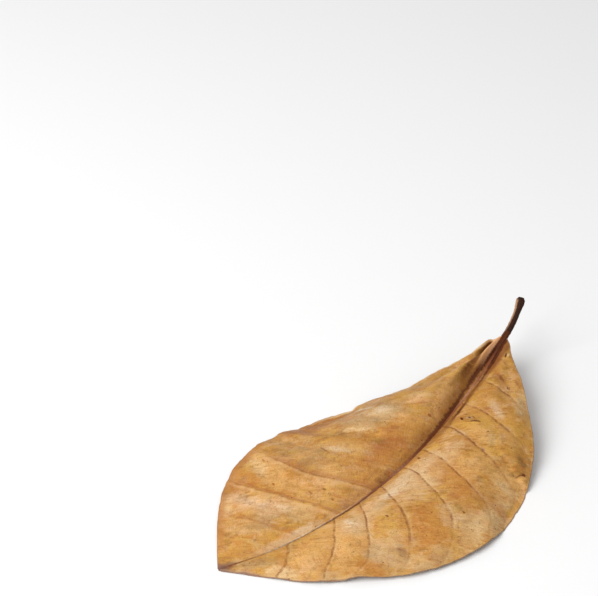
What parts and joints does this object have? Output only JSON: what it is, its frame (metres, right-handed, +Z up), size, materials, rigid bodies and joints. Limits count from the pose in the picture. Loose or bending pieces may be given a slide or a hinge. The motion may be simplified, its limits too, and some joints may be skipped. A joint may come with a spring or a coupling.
{
  "type": "dried indian almond leaf",
  "caption": "Dried broad leaf with a midrib channel, raised side veins, waved margins and a short upturned stalk, lying on a surface.",
  "frame": {"origin": "on the surface that the leaf lies on, under the middle of its box", "axes": "+X along the leaf from its tip to its stalk, +Y to the half that is folded beside the midrib, +Z up"},
  "size_m": [0.1943, 0.1073, 0.0319],
  "materials": {
    "dry_leaf": "satin"
  },
  "bodies": {
    "root": {"leaf": "dry_leaf"}
  },
  "joints": []
}
